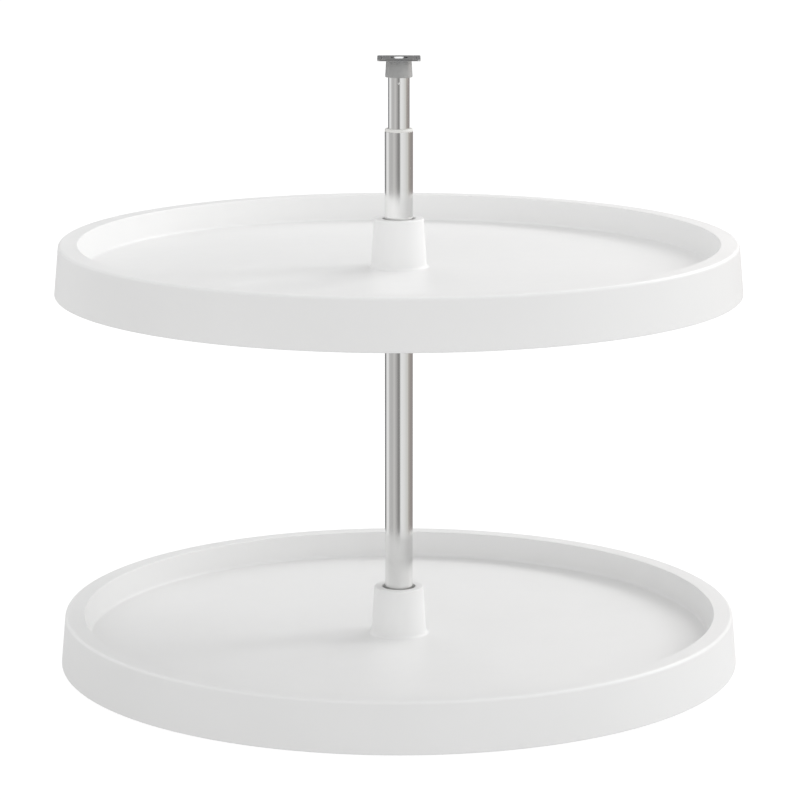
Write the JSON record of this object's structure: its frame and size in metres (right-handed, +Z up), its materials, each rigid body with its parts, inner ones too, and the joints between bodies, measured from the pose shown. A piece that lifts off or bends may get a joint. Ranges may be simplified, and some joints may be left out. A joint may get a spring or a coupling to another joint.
{
  "type": "full-round rotating shelf set on a telescoping pole",
  "caption": "Full-round rotating trays with raised rims and tapered hubs on a twist-lock telescoping pole, with square swivel plates that fix it inside a cabinet.",
  "frame": {"origin": "centre of the base plate's underside, where it rests on the cabinet floor", "axes": "+Z up along the pole, X and Y along the sides of the square base plate"},
  "size_m": [0.6098, 0.6098, 0.5702],
  "materials": {
    "white_moulding": "satin white injection-moulded polymer",
    "chrome_tube": "bright chrome plate on drawn steel tube",
    "grey_plastic": "mid-grey moulded plastic with a fine grain",
    "collar_plastic": "dark grey glass-filled nylon",
    "natural_nylon": "natural nylon, slightly waxy",
    "zinc_steel": "bright zinc-plated pressed steel"
  },
  "bodies": {
    "base": {"base_plate": "zinc_steel", "base_washer": "natural_nylon"},
    "shaft": {"base_rivet": "zinc_steel", "base_cap": "grey_plastic", "base_cap_pin": "zinc_steel", "outer_tube": "chrome_tube", "guide_bush": "natural_nylon"},
    "lower_carrier": {"lower_collar": "collar_plastic", "lower_collar_screw": "zinc_steel", "lower_collar_nut": "zinc_steel", "lower_thrust_washer": "zinc_steel"},
    "lower_shelf": {"lower_tray": "white_moulding", "lower_hub_bearing": "natural_nylon"},
    "upper_carrier": {"upper_collar": "collar_plastic", "upper_collar_screw": "zinc_steel", "upper_collar_nut": "zinc_steel", "upper_thrust_washer": "zinc_steel"},
    "upper_shelf": {"upper_tray": "white_moulding", "upper_hub_bearing": "natural_nylon"},
    "lock_grip": {"lock_sleeve": "natural_nylon"},
    "lock_taper": {"lock_cone": "zinc_steel"},
    "mast": {"lock_plug": "natural_nylon", "lock_screw": "zinc_steel", "inner_tube": "chrome_tube", "top_cap": "grey_plastic", "cap_pin": "zinc_steel", "top_rivet": "zinc_steel"},
    "swivel_plate": {"top_plate": "zinc_steel"}
  },
  "joints": [
    {"name": "shaft_spin", "type": "hinge", "parent": "base", "child": "shaft", "pos_m": [0, 0, 0.005], "axis": [0, 0, 1], "continuous": true},
    {"name": "lower_height", "type": "slide", "parent": "shaft", "child": "lower_carrier", "axis": [0, 0, 1], "range_m": [0, 0.1]},
    {"name": "lower_spin", "type": "hinge", "parent": "lower_carrier", "child": "lower_shelf", "pos_m": [0, 0, 0.034], "axis": [0, 0, 1], "continuous": true},
    {"name": "upper_height", "type": "slide", "parent": "shaft", "child": "upper_carrier", "axis": [0, 0, 1], "range_m": [-0.15, 0.07]},
    {"name": "upper_spin", "type": "hinge", "parent": "upper_carrier", "child": "upper_shelf", "pos_m": [0, 0, 0.37], "axis": [0, 0, 1], "continuous": true},
    {"name": "mast_telescope", "type": "slide", "parent": "shaft", "child": "lock_grip", "axis": [0, 0, 1], "range_m": [-0.038, 0.085]},
    {"name": "twist_lock", "type": "hinge", "parent": "lock_grip", "child": "mast", "pos_m": [0, 0, 0.36], "axis": [0, 0, 1], "range_deg": [0, 180]},
    {"name": "cone_draw", "type": "slide", "parent": "lock_grip", "child": "lock_taper", "axis": [0, 0, 1], "range_m": [-0.001, 0]},
    {"name": "top_plate_swivel", "type": "hinge", "parent": "mast", "child": "swivel_plate", "pos_m": [0, 0, 0.5675], "axis": [0, 0, 1], "continuous": true}
  ],
  "couplings": [
    {"joint": "cone_draw", "follows": "twist_lock", "m_per_rad": -0.000318}
  ]
}
